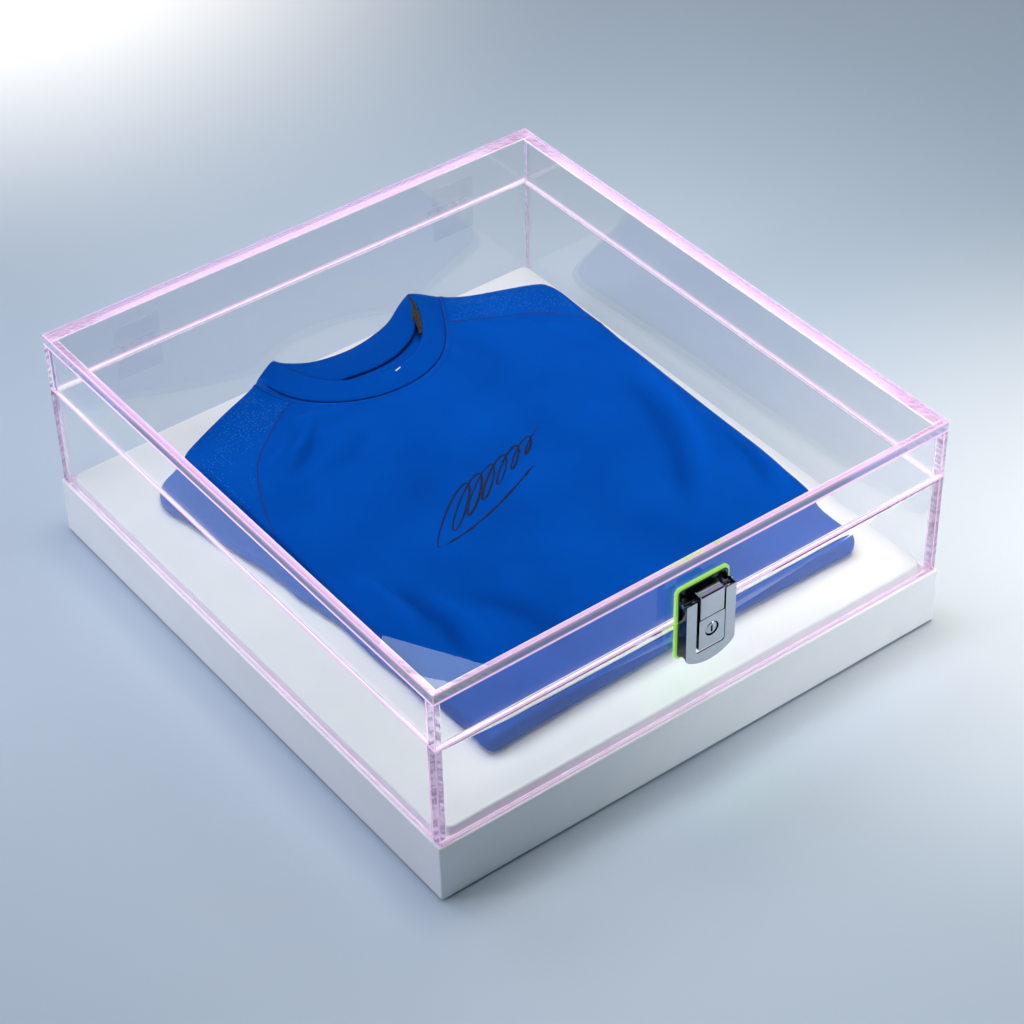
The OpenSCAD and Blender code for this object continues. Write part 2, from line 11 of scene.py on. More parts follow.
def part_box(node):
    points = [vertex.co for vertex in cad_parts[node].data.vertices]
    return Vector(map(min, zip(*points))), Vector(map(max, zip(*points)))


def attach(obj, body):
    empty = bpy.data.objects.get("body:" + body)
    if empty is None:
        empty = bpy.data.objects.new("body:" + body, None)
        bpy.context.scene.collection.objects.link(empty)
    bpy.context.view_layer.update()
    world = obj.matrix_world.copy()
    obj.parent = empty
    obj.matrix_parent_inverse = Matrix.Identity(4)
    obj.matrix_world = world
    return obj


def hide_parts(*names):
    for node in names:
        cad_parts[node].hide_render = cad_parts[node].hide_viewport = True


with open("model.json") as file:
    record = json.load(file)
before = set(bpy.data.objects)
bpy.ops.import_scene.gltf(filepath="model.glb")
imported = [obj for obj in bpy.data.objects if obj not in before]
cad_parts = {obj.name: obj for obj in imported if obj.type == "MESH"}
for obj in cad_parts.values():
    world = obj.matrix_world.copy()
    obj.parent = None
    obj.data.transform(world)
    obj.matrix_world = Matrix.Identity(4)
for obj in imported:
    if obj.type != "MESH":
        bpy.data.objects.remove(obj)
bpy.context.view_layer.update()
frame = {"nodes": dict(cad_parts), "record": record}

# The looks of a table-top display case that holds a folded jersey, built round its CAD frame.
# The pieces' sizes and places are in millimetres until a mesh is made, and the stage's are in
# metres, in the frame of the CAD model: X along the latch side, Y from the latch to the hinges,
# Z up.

MM = 0.001
scene = bpy.context.scene
BODY_OF = {
    node: body
    for body, nodes in frame["record"]["behaviour"]["bodies"].items()
    for node in nodes
}
SLOT_OF = {part["node"]: part["material_slot"] for part in frame["record"]["subparts"]}


def box_mm(*nodes):
    """Lowest and highest corner of some CAD nodes together, in millimetres."""
    boxes = [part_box(node) for node in nodes]
    low = [min(b[0][i] for b in boxes) / MM for i in range(3)]
    high = [max(b[1][i] for b in boxes) / MM for i in range(3)]
    return low, high


# ---- camera ----

AZIMUTH, ELEVATION, ROLL = map(math.radians, (-36.33, 40.09, -1.41))
LOOK_AT = Vector((7.4, -23.6, 82.6)) * MM
DISTANCE = 2.399  # metres
LENS = 98.8  # millimetres


def make_camera():
    """A long lens that looks down on the latch side and the left side."""
    forward = Vector((
        -math.sin(AZIMUTH) * math.cos(ELEVATION),
        math.cos(AZIMUTH) * math.cos(ELEVATION),
        -math.sin(ELEVATION),
    ))
    across = forward.cross(Vector((0, 0, 1))).normalized()
    turn = Matrix.Rotation(-ROLL, 3, forward)
    across = turn @ across
    up = across.cross(forward)
    camera = bpy.data.objects.new("camera", bpy.data.cameras.new("camera"))
    axes = Matrix((across, up, -forward)).transposed()
    camera.matrix_world = Matrix.Translation(LOOK_AT - forward * DISTANCE) @ axes.to_4x4()
    camera.data.lens = LENS
    scene.collection.objects.link(camera)
    scene.camera = camera


# ---- node materials ----

def srgb(red, green, blue):
    """A linear colour from its 8-bit values on a screen."""
    parts = [c / 255 for c in (red, green, blue)]
    return (*(c / 12.92 if c <= 0.04045 else ((c + 0.055) / 1.055) ** 2.4 for c in parts), 1.0)


def new_material(name):
    material = bpy.data.materials.new(name)
    material.use_nodes = True
    material.node_tree.nodes.clear()
    return material


def feed(material, socket, value):
    """Links another socket to this one, or sets it to a constant."""
    if isinstance(value, bpy.types.NodeSocket):
        material.node_tree.links.new(value, socket)
    else:
        socket.default_value = value


def add(material, kind, settings=None, **sockets):
    """A shader node with its settings and sockets. An underscore in a socket's name is a space."""
    node = material.node_tree.nodes.new("ShaderNode" + kind)
    for name, value in (settings or {}).items():
        setattr(node, name, value)
    for name, value in sockets.items():
        feed(material, node.inputs[name.replace("_", " ")], value)
    return node


def coordinates(material, stretch=(1, 1, 1)):
    """Object coordinates in millimetres, stretched along the axes."""
    place = add(material, "TexCoord").outputs["Object"]
    scale = tuple(s / MM for s in stretch)
    return add(material, "Mapping", Vector=place, Scale=scale).outputs["Vector"]


def speckle(material, size, detail=2.0, stretch=(1, 1, 1)):
    """Soft noise whose blobs are about size millimetres wide, from 0 to 1."""
    place = coordinates(material, stretch)
    return add(material, "TexNoise", Vector=place, Scale=1 / size, Detail=detail).outputs["Fac"]


def between(material, factor, low, high, fade=(0.3, 0.7)):
    """A number that goes from low to high as factor crosses the fade."""
    node = add(material, "MapRange", Value=factor)
    for name, value in zip(("From Min", "From Max", "To Min", "To Max"), (*fade, low, high)):
        node.inputs[name].default_value = value
    return node.outputs["Result"]


def two_tone(material, factor, first, second, fade=(0.3, 0.7)):
    """A colour that goes from first to second as factor crosses the fade."""
    share = between(material, factor, 0.0, 1.0, fade)
    node = add(material, "Mix", {"data_type": "RGBA"})
    # The sockets of an RGBA mix: the factor is 0, its colours are 6 and 7, its result is 2.
    for socket, value in ((0, share), (6, first), (7, second)):
        feed(material, node.inputs[socket], value)
    return node.outputs[2]


def bump(material, height, depth, strength=1.0):
    """A bump normal from a height between 0 and 1 that stands for depth millimetres."""
    node = add(material, "Bump", Height=height, Distance=depth * MM, Strength=strength)
    return node.outputs["Normal"]


def maths(material, operation, *values):
    """The result of one sum on numbers or sockets."""
    node = add(material, "Math", {"operation": operation})
    for socket, value in zip(node.inputs, values):
        feed(material, socket, value)
    return node.outputs["Value"]


def finish_material(material, surface, volume=None):
    """Joins a surface, and a volume if there is one, to the material's output."""
    output = add(material, "OutputMaterial", Surface=surface)
    if volume is not None:
        material.node_tree.links.new(volume, output.inputs["Volume"])
    return material


def principled(material, **sockets):
    return add(material, "BsdfPrincipled", **sockets).outputs["BSDF"]


def white_lacquer():
    """Satin white lacquer: faint mottling, orange peel and changing gloss."""
    m = new_material("white_lacquer")
    colour = two_tone(m, speckle(m, 60, 4), srgb(238, 240, 243), srgb(244, 245, 248))
    peel = bump(m, speckle(m, 1.6, 3), 0.012)
    gloss = between(m, speckle(m, 25, 3), 0.34, 0.42)
    return finish_material(m, principled(m, Base_Color=colour, Roughness=gloss, Normal=peel))


def acrylic():
    """Clear cast acrylic. Light falls straight through it, without caustics, and a long way
    through the sheet turns it faintly pink."""
    m = new_material("acrylic")
    wave = bump(m, speckle(m, 90, 1), 0.02, 0.3)
    glass = principled(
        m, Base_Color=(1, 1, 1, 1), Roughness=0.0, IOR=1.49, Transmission_Weight=1.0, Normal=wave
    )
    path = add(m, "LightPath").outputs
    clear = add(m, "BsdfTransparent").outputs["BSDF"]
    surface = glass
    for straight in (path["Is Shadow Ray"], path["Is Diffuse Ray"]):
        mixed = add(m, "MixShader", Fac=straight)
        m.node_tree.links.new(surface, mixed.inputs[1])
        m.node_tree.links.new(clear, mixed.inputs[2])
        surface = mixed.outputs["Shader"]
    tint = add(m, "VolumeAbsorption", Color=(1.0, 0.9, 0.98, 1), Density=2.2)
    return finish_material(m, surface, tint.outputs["Volume"])


def ramp(material, factor, *stops):
    """A colour that follows factor through (place, 8-bit colour) stops."""
    node = add(material, "ValToRGB", Fac=factor)
    elements = node.color_ramp.elements
    for _ in stops[2:]:
        elements.new(0.5)
    for element, (place, colour) in zip(elements, stops):
        element.position, element.color = place, srgb(*colour)
    return node.outputs["Color"]


def across_wall(material, reach=(-9.5, 0.0)):
    """Two numbers that go from 0 to 1 as the distance to the case's outer side along X and
    along Y passes through reach, and the point's own place."""
    place = add(material, "SeparateXYZ", Vector=coordinates(material)).outputs
    shares = []
    for axis, half in zip("XY", box_mm("lid_top")[1]):
        far = maths(material, "ABSOLUTE", place[axis])
        shares.append(between(material, far, 0.0, 1.0, (half + reach[0], half + reach[1])))
    return shares, place


def share_across(material, measure):
    """How far across the end of a sheet a point is, from 0 to 1: through a wall, round a post
    or up the rim of the lid's top. Also the point's own place."""
    (x, y), place = across_wall(material)
    if measure == "wall":
        return maths(material, "MAXIMUM", x, y), place
    if measure == "post":
        return maths(material, "ABSOLUTE", maths(material, "SUBTRACT", x, y)), place
    low, high = box_mm("lid_top")
    return between(material, place["Z"], 0.0, 1.0, (low[2], high[2])), place


def painted_corner_share(material, place, facets):
    """A number that goes to 1 near the corners of the case, in streaks as deep as facets: where
    the painted corner glints and shade go.
    """
    run = maths(material, "ADD", maths(material, "ADD", place["X"], place["Y"]), place["Z"])
    streaks = add(
        material, "TexNoise", {"noise_dimensions": "1D"}, W=run, Scale=0.24, Detail=3.0
    ).outputs["Fac"]
    grain = between(material, speckle(material, 6), 0.75, 1.2)
    streaks = maths(material, "MULTIPLY", streaks, grain)
    streaks = between(material, streaks, 1.0 - facets, 1.0, (0.46, 0.54))
    (near_x, near_y), _ = across_wall(material, (-80.0, -20.0))
    near = between(material, maths(material, "MULTIPLY", near_x, near_y), 0.0, 1.0, (0.1, 0.7))
    return maths(material, "MULTIPLY", near, streaks)


def painted_lime_glints(material, place):
    """A number that is 1 in specks of the front edge beside the latch, where the gaskets'
    reflection is painted.
    """
    low, high = box_mm("keeper_gasket")
    middle = (low[0] + high[0]) / 2
    aside = maths(material, "ABSOLUTE", maths(material, "SUBTRACT", place["X"], middle))
    beside = between(material, aside, 1.0, 0.0, (22, 32))
    in_front = between(material, place["Y"], 1.0, 0.0, (low[1] + 16, low[1] + 20))
    specks = between(material, speckle(material, 9, 3), 0.0, 1.0, (0.46, 0.54))
    return maths(material, "MULTIPLY", maths(material, "MULTIPLY", beside, in_front), specks)


def acrylic_end(name, stops, measure="wall", clear=0.35, glow=0.28, corner=None, facets=0.0,
                lime=False):
    """A polished end of a sheet, painted with the light that the sheet gathers and gives out
    there: a colour that follows stops across the sheet, with a painted glow, and turns near the
    corners of the case to corner, a painted glint or shade that facets break up. A lime one
    has painted reflections of the gaskets beside the latch."""
    m = new_material("acrylic_end_" + name)
    share, place = share_across(m, measure)
    colour = ramp(m, share, *stops)
    if corner:
        near = painted_corner_share(m, place, facets)
        colour = two_tone(m, near, colour, srgb(*corner), (0.0, 1.0))
    if lime:
        colour = two_tone(m, painted_lime_glints(m, place), colour, srgb(168, 226, 96), (0.0, 1.0))
    return finish_material(m, principled(
        m, Base_Color=colour, Roughness=between(m, speckle(m, 7), 0.08, 0.18), IOR=1.49,
        Transmission_Weight=clear, Emission_Color=colour, Emission_Strength=glow
    ))


def acrylic_bevel(name, clear, glow):
    """The broken edges of the sheets: thin lines of painted highlight with a painted glow, pink
    outside and white inside.
    """
    m = new_material(name)
    share, _ = share_across(m, "wall")
    colour = ramp(m, share, (0.0, WHITE), (0.3, WHITE), (0.6, PINK), (1.0, PINK))
    colour = two_tone(m, speckle(m, 7, 3), colour, srgb(238, 198, 232))
    return finish_material(m, principled(
        m, Base_Color=colour, Roughness=0.15, IOR=1.49, Transmission_Weight=clear,
        Emission_Color=colour, Emission_Strength=glow
    ))


def clear_plastic():
    """Clear moulded plastic of the hinges, with faint flow marks."""
    m = new_material("clear_plastic")
    flow = bump(m, speckle(m, 8, 2, (0.3, 1, 1)), 0.02)
    colour = two_tone(m, speckle(m, 5, 2), srgb(214, 220, 232), srgb(232, 236, 244))
    return finish_material(m, principled(
        m, Base_Color=colour, Roughness=0.1, IOR=1.49, Alpha=0.08, Normal=flow
    ))


def metal(name, colour, low, high, scratch):
    """A plated metal with polishing scratches and gloss between low and high."""
    m = new_material(name)
    lines = speckle(m, 1.2, 4, (1, 1, 0.08))
    gloss = between(m, speckle(m, 7, 4), low, high)
    shade = two_tone(m, speckle(m, 9, 3), srgb(*colour), srgb(*(c + 7 for c in colour)))
    return finish_material(m, principled(
        m, Base_Color=shade, Metallic=1.0, Roughness=gloss, Normal=bump(m, lines, scratch)
    ))


def lime_silicone():
    """Fluorescent silicone whose fluorescence is a painted glow: it gives back a little more light
    than it gets.
    """
    m = new_material("lime_silicone")
    colour = two_tone(m, speckle(m, 3, 3), srgb(172, 224, 118), srgb(184, 236, 132))
    skin = bump(m, speckle(m, 0.5, 2), 0.02)
    return finish_material(m, principled(
        m, Base_Color=colour, Roughness=0.45, Normal=skin,
        # A painted glow.
        Emission_Color=srgb(164, 230, 92), Emission_Strength=0.5
    ))


def black_rubber():
    m = new_material("black_rubber")
    colour = two_tone(m, speckle(m, 2, 3), srgb(22, 22, 23), srgb(38, 38, 39))
    return finish_material(m, principled(
        m, Base_Color=colour, Roughness=0.7, Normal=bump(m, speckle(m, 0.6, 2), 0.05)
    ))


def softwood():
    """Planed softwood with its grain along X."""
    m = new_material("softwood")
    grain = add(
        m, "TexWave", {"bands_direction": "Y"}, Vector=coordinates(m, (0.06, 1, 1)),
        Scale=0.1, Distortion=6.0, Detail=3.0
    ).outputs["Fac"]
    colour = two_tone(m, grain, srgb(196, 160, 112), srgb(222, 190, 142), (0.2, 0.8))
    return finish_material(m, principled(
        m, Base_Color=colour, Roughness=0.6, Normal=bump(m, grain, 0.08)
    ))


WAVE_LENGTH = 0.314  # of a wave texture whose scale is 1


def knit(name, dark, light, pitch, sheen=0.15, dots=0.0):
    """Fine polyester knit: columns of small loops, soft shade changes, a slight sheen, and
    for mesh knit a pattern of paler dots. The attribute fold is the height of the creases in
    millimetres: shade is painted into the knit in the valleys and light onto the ridges."""
    m = new_material(name)
    place = coordinates(m)
    columns = add(
        m, "TexWave", {"bands_direction": "X"}, Vector=place, Scale=WAVE_LENGTH / pitch,
        Distortion=0.6, Detail=1.0
    ).outputs["Fac"]
    loops = add(
        m, "TexWave", {"bands_direction": "Y"}, Vector=place, Scale=WAVE_LENGTH / pitch * 0.8,
        Distortion=0.8, Detail=1.0
    ).outputs["Fac"]
    stitch = maths(m, "MULTIPLY", columns, loops)
    broad = two_tone(m, speckle(m, 70, 2), srgb(*dark), srgb(*light))
    # Painted shade in the valleys of the creases and painted light on their ridges.
    fold = add(m, "Attribute", {"attribute_name": "fold"}).outputs["Fac"]
    broad = two_tone(m, fold, srgb(0, 60, 148), broad, (-4.0, 0.0))
    broad = two_tone(m, fold, broad, srgb(*(c * 1.05 for c in light)), (0.0, 5.0))
    colour = two_tone(m, stitch, broad, srgb(*(c * 1.1 + 3 for c in light)), (0.2, 1.6))
    if dots:
        dot_pitch = 3.2
        cells = add(m, "TexVoronoi", Vector=place, Scale=1 / dot_pitch, Randomness=0.55)
        spot = between(m, cells.outputs["Distance"], dots, 0.0, (0.12, 0.24))
        colour = two_tone(m, spot, colour, srgb(76, 134, 206), (0.0, 1.0))
    return finish_material(m, principled(
        m, Base_Color=colour, Roughness=0.78, Normal=bump(m, stitch, 0.1, 0.7),
        Sheen_Weight=sheen, Sheen_Roughness=0.4, Sheen_Tint=srgb(0, 110, 235),
        Specular_IOR_Level=0.1, Specular_Tint=srgb(60, 150, 255)
    ))


def ribbed_knit():
    """Rib knit of the collar. The attribute along counts millimetres along the band."""
    m = new_material("collar_rib")
    along = add(m, "Attribute", {"attribute_name": "along"}).outputs["Fac"]
    rib_pitch = 1.6
    rib = maths(m, "SINE", maths(m, "MULTIPLY", along, 2 * math.pi / rib_pitch))
    rib = maths(m, "MULTIPLY_ADD", rib, 0.5, 0.5)
    colour = two_tone(m, rib, srgb(0, 70, 165), srgb(0, 75, 174), (0.0, 1.0))
    yarn = maths(m, "MULTIPLY", rib, speckle(m, 0.7, 2))
    return finish_material(m, principled(
        m, Base_Color=colour, Roughness=0.8, Normal=bump(m, yarn, 0.1, 0.6),
        Sheen_Weight=0.15, Sheen_Roughness=0.4, Sheen_Tint=srgb(0, 110, 235),
        Specular_IOR_Level=0.1, Specular_Tint=srgb(60, 150, 255)
    ))


def plain_cloth(name, dark, light, grain=0.6):
    """Thread, tape or ink: two close shades in fine grains."""
    m = new_material(name)
    grains = speckle(m, grain, 2)
    colour = two_tone(m, grains, srgb(*dark), srgb(*light), (0.4, 0.6))
    return finish_material(m, principled(
        m, Base_Color=colour, Roughness=0.8, Normal=bump(m, grains, 0.08)
    ))


def floor_paint():
    m = new_material("floor_paint")
    colour = two_tone(m, speckle(m, 900, 2), srgb(186, 199, 216), srgb(194, 206, 221))
    gloss = between(m, speckle(m, 300, 2), 0.5, 0.6)
    return finish_material(m, principled(m, Base_Color=colour, Roughness=gloss))


LACQUER = white_lacquer()
ACRYLIC = acrylic()
# The colours of the light painted into the sheets' ends and bevels, and below, each kind of end
# with its painted light.
PINK, WHITE, GREY, BRIGHT = (246, 204, 240), (240, 240, 246), (122, 118, 140), (250, 253, 253)
ACRYLIC_ENDS = {
    "lid": acrylic_end(
        "lid",
        ((0.0, (236, 206, 236)), (0.3, (222, 192, 226)), (0.55, (206, 180, 216)),
         (0.8, (224, 200, 228)), (1.0, (240, 214, 240))),
        corner=(172, 140, 172), facets=0.5, lime=True
    ),
    "rim": acrylic_end(
        "rim",
        ((0.0, (236, 236, 246)), (0.14, (226, 226, 242)), (0.24, (140, 156, 218)),
         (0.6, (160, 164, 214)), (0.75, (206, 196, 226)), (1.0, (236, 214, 240))),
        "rim", clear=0.6, glow=0.3, corner=(200, 200, 222), facets=0.5
    ),
    "seam": acrylic_end(
        "seam",
        ((0.0, WHITE), (0.1, WHITE), (0.16, GREY), (0.26, (150, 160, 176)), (0.34, BRIGHT),
         (0.68, BRIGHT), (0.76, PINK), (1.0, PINK)),
        glow=0.6, corner=BRIGHT
    ),
    "base": acrylic_end(
        "base",
        ((0.0, PINK), (0.3, (206, 190, 214)), (0.6, PINK), (0.8, (150, 136, 168)), (1.0, WHITE))
    ),
    "post": acrylic_end(
        "post",
        ((0.0, PINK), (0.2, (222, 218, 230)), (0.75, (214, 212, 224)), (1.0, PINK)),
        "post", clear=0.7, glow=0.14, corner=(120, 112, 136), facets=0.6
    ),
}
ACRYLIC_BEVELS = (
    acrylic_bevel("acrylic_bevel", 0.3, 0.36),  # along the sheets
    acrylic_bevel("acrylic_arris", 0.7, 0.16),  # up the posts
)
HINGE_PLASTIC = clear_plastic()
CHROME = metal("chrome", (196, 200, 206), 0.05, 0.11, 0.006)
# Chrome with painted shade: a darker copy for the plates and the latch's side faces, where dark
# reflections fall.
CHROME_PAINTED_SHADE = metal("chrome_painted_shade", (84, 87, 94), 0.12, 0.2, 0.01)
ZINC = metal("zinc", (176, 178, 182), 0.22, 0.34, 0.02)
LIME = lime_silicone()
RUBBER = black_rubber()
WOOD = softwood()
KNIT = knit("jersey_knit", (0, 69, 163), (0, 77, 177), 0.9)
SLEEVE_KNIT = knit("sleeve_knit", (0, 70, 163), (2, 80, 179), 1.7, 0.2, 0.6)
RIB = ribbed_knit()
SEAM_THREAD = plain_cloth("seam_thread", (0, 40, 112), (0, 52, 132))
COLLAR_THREAD = plain_cloth("collar_thread", (0, 58, 146), (0, 66, 160))
INK = plain_cloth("ink", (4, 16, 48), (8, 24, 66), 0.9)
NECK_TAPE = plain_cloth("neck_tape", (2, 3, 5), (64, 60, 46), 1.6)
LABEL = plain_cloth("label", (196, 200, 214), (236, 238, 246))


# ---- mesh helpers ----

def new_piece(name, mesh, body, slot, *materials):
    """A visible piece that rides on a CAD body, with the given materials. slot is not used."""
    piece = bpy.data.objects.new(name, mesh)
    scene.collection.objects.link(piece)
    for material in materials:
        mesh.materials.append(material)
    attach(piece, body)
    return piece


def mesh_of(name, points, faces):
    """A smooth-shaded mesh from points in millimetres."""
    mesh = bpy.data.meshes.new(name)
    mesh.from_pydata([tuple(c * MM for c in p) for p in points], [], faces)
    mesh.update()
    mesh.shade_smooth()
    return mesh


def loft(rings):
    """Points and faces of the closed skin through rings of equal length."""
    count = len(rings[0])
    points = [p for ring in rings for p in ring]
    faces = []
    for k in range(len(rings) - 1):
        for i in range(count):
            j = (i + 1) % count
            faces.append((
                k * count + i, k * count + j, (k + 1) * count + j, (k + 1) * count + i
            ))
    faces.append(tuple(reversed(range(count))))
    faces.append(tuple(range(len(points) - count, len(points))))
    return points, faces


def sharp_edges(mesh, angle):
    return [e for e in mesh.edges if len(e.link_faces) == 2
            and e.calc_face_angle() > math.radians(angle)]


def bevel(mesh, edges, width, segments, **options):
    """Rounds some edges of a bmesh over width millimetres."""
    bmesh.ops.bevel(
        mesh, geom=edges, offset=width * MM, segments=segments, profile=0.5, affect="EDGES",
        **options
    )


def even_normals(piece, angle=40):
    """Smooth shading that keeps large faces flat."""
    piece.data.set_sharp_from_angle(angle=math.radians(angle))
    modifier = piece.modifiers.new("even_normals", "WEIGHTED_NORMAL")
    modifier.keep_sharp = True


def applied(piece):
    """Puts the result of the piece's modifiers into its mesh."""
    graph = bpy.context.evaluated_depsgraph_get()
    mesh = bpy.data.meshes.new_from_object(piece.evaluated_get(graph))
    piece.modifiers.clear()
    piece.data = mesh
    return piece


# ---- plinth and platform ----

def rounded_rectangle(half_x, half_y, radius, z):
    """A ring of points round a rectangle with round corners."""
    steps = 8
    ring = []
    for quarter, (sx, sy) in enumerate(((1, 1), (-1, 1), (-1, -1), (1, -1))):
        for i in range(steps + 1):
            angle = math.radians(90) * (quarter + i / steps)
            ring.append((
                sx * (half_x - radius) + radius * math.cos(angle),
                sy * (half_y - radius) + radius * math.sin(angle),
                z,
            ))
    return ring


def turned_edge(radius, z, side):
    """(inset, z) steps that round an edge. side is 1 at a top edge and -1 at a bottom one."""
    steps = 5
    angles = [math.radians(90) * i / steps for i in range(steps + 1)]
    rounding = [
        (radius * (1 - math.cos(a)), z - side * radius * (1 - math.sin(a))) for a in angles
    ]
    return rounding if side > 0 else rounding[::-1]


def lofted_board(name, low, high, corner, profile):
    """A board with round corners whose sides follow (inset, z) steps from bottom to top."""
    half_x, half_y = (high[0] - low[0]) / 2, (high[1] - low[1]) / 2
    least_corner = 0.3
    rings = [
        rounded_rectangle(half_x - inset, half_y - inset, max(corner - inset, least_corner), z)
        for inset, z in profile
    ]
    return mesh_of(name, *loft(rings))


PLINTH_PARTS = (
    "plinth_front_rail", "plinth_back_rail", "plinth_left_rail", "plinth_right_rail",
    "plinth_top_board",
)


def make_plinth():
    """One coat of lacquer over the four rails and the top board, hollow underneath."""
    low, high = box_mm(*PLINTH_PARTS)
    rail = high[0] - box_mm("plinth_bottom_board")[1][0]
    under_top = box_mm("plinth_top_board")[0][2]
    corner, foot_edge, top_edge = 2.2, 0.8, 1.6
    profile = [(rail, under_top), (rail, low[2])]
    profile += turned_edge(foot_edge, low[2], -1) + turned_edge(top_edge, high[2], 1)
    mesh = lofted_board("plinth_skin", low, high, corner, profile)
    piece = new_piece("plinth_skin", mesh, "case", "painted_white", LACQUER)
    even_normals(piece)
    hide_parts(*PLINTH_PARTS)


def make_platform():
    """The raised white board that the jersey lies on."""
    low, high = box_mm("display_platform")
    corner, foot_edge, top_edge = 9.0, 0.4, 2.2
    profile = turned_edge(foot_edge, low[2], -1) + turned_edge(top_edge, high[2], 1)
    mesh = lofted_board("platform", low, high, corner, profile)
    piece = new_piece("platform", mesh, "case", "painted_white", LACQUER)
    even_normals(piece)
    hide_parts("display_platform")


# ---- acrylic sheets ----

SHEETS = (
    "wall_front", "wall_back", "wall_left", "wall_right",
    "lid_top", "lid_front", "lid_back", "lid_left", "lid_right",
)
JOINT_GAP = 0.04  # how far a sheet's faces stand back from its neighbours
CHAMFER = 1.0
FIRST_BEVEL = 1 + len(ACRYLIC_ENDS)  # a sheet's slots: acrylic, its ends, then its bevels


def clean_copy(node):
    """A bmesh of a CAD node with its triangles joined into flat faces."""
    mesh = bmesh.new()
    mesh.from_mesh(frame["nodes"][node].data)
    bmesh.ops.remove_doubles(mesh, verts=mesh.verts, dist=0.0005 * MM)
    bmesh.ops.dissolve_limit(
        mesh, angle_limit=math.radians(0.5), verts=mesh.verts, edges=mesh.edges
    )
    return mesh


def end_of(node, face):
    """Which of the sheets' ends a narrow face is."""
    if abs(face.normal.z) < 0.5:
        return "rim" if node == "lid_top" else "post"
    height = face.calc_center_median().z / MM
    if height > box_mm("lid_top")[0][2] - 1:
        return "lid"
    return "base" if height < box_mm("wall_front")[0][2] + 1 else "seam"


def make_sheet(node):
    """A clear sheet with polished, slightly broken edges."""
    mesh = clean_copy(node)
    low, high = box_mm(node)
    for vertex in mesh.verts:
        for i in range(3):
            place = vertex.co[i] / MM
            if abs(place - low[i]) < JOINT_GAP:
                vertex.co[i] += JOINT_GAP * MM
            elif abs(place - high[i]) < JOINT_GAP:
                vertex.co[i] -= JOINT_GAP * MM
    thick, across = min((high[i] - low[i], i) for i in range(3))
    thick *= MM
    # The narrow ends, and the bevels below, take the materials painted with light.
    for face in mesh.faces:
        narrow = min(e.calc_length() for e in face.edges) < 1.01 * thick
        if narrow and len(face.edges) == 4 and abs(face.normal[across]) < 0.5:
            face.material_index = 1 + list(ACRYLIC_ENDS).index(end_of(node, face))
    long_edges = [e for e in sharp_edges(mesh, 60) if e.calc_length() > 0.9 * thick]
    bevel(mesh, long_edges, CHAMFER, 2, material=FIRST_BEVEL)
    for face in mesh.faces:
        upright = max(abs(e.verts[0].co.z - e.verts[1].co.z) for e in face.edges)
        if face.material_index == FIRST_BEVEL and upright > 2 * thick:
            face.material_index = FIRST_BEVEL + 1
    data = bpy.data.meshes.new(node + "_sheet")
    mesh.to_mesh(data)
    mesh.free()
    piece = new_piece(
        node + "_sheet", data, BODY_OF[node], "clear_acrylic", ACRYLIC,
        *ACRYLIC_ENDS.values(), *ACRYLIC_BEVELS
    )
    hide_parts(node)


# ---- hard parts with rounded edges ----

def dome_plug(mesh):
    """Rounds the front rim of the lock plug into a low dome."""
    low, high = box_mm("lock_plug")
    middle = Vector(((low[0] + high[0]) / 2, low[1], (low[2] + high[2]) / 2))
    keyway_reach, dome = 5, 2.8
    rim = [e for e in mesh.edges if all(
        v.co.y / MM < low[1] + 0.05 and (v.co / MM - middle).length > keyway_reach
        for v in e.verts
    )]
    bevel(mesh, rim, dome, 6)


def make_refined(node, material, width, wide=None, sides=None, level=(-2, 2)):
    """A CAD node with its sharp edges rounded by width millimetres, or by wide where they are
    long enough. The finish sides, if there is one, is chrome with painted shade; it goes on the
    faces to the left and right, and on those whose normals' rise is outside level."""
    mesh = clean_copy(node)
    sharp, long_enough = 35, 4
    if node == "lock_plug":
        dome_plug(mesh)
    if wide:
        edges = [e for e in sharp_edges(mesh, sharp) if e.calc_length() > long_enough * MM]
        bevel(mesh, edges, wide, 3, clamp_overlap=True)
    bevel(mesh, sharp_edges(mesh, sharp), width, 2, clamp_overlap=True)
    bmesh.ops.remove_doubles(mesh, verts=mesh.verts, dist=0.001 * MM)
    for face in mesh.faces:
        aside = abs(face.normal.x) > 0.95 or not level[0] < face.normal.z < level[1]
        face.material_index = int(sides is not None and aside)
    data = bpy.data.meshes.new(node + "_finish")
    mesh.to_mesh(data)
    mesh.free()
    data.shade_smooth()
    finishes = [material] if sides is None else [material, sides]
    piece = new_piece(node + "_finish", data, BODY_OF[node], SLOT_OF[node], *finishes)
    even_normals(piece, 30)
    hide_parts(node)


REFINED = {
    "plinth_bottom_board": (LACQUER, 0.5), "board_screws": (ZINC, 0.15),
    "rubber_feet": (RUBBER, 0.4), "corner_blocks": (WOOD, 0.6),
    "lock_gasket": (LIME, 0.5), "keeper_gasket": (LIME, 0.5),
    # The plates, and the side faces of the housing, the bridge and the bail, take chrome with
    # painted shade.
    "lock_plate": (CHROME_PAINTED_SHADE, 0.35), "keeper_plate": (CHROME_PAINTED_SHADE, 0.35),
    "lock_housing": (CHROME, 0.3, 1.0, CHROME_PAINTED_SHADE, (-0.3, 0.3)),
    "keeper_bridge": (CHROME, 0.3, 1.0, CHROME_PAINTED_SHADE, (-0.3, 2)),
    "hasp_bail": (CHROME, 0.45, None, CHROME_PAINTED_SHADE), "hasp_pin": (CHROME, 0.3),
    "lock_plug": (CHROME, 0.15), "lock_screws": (ZINC, 0.15), "keeper_screws": (ZINC, 0.15),
    "lock_cam": (ZINC, 0.2), "cam_screw": (ZINC, 0.15),
}
for side in ("left", "right"):
    for part in ("hinge_leaf_lower_", "hinge_leaf_upper_", "hinge_pin_"):
        REFINED[part + side] = (HINGE_PLASTIC, 0.3)


# ---- jersey: curves and cloth helpers ----

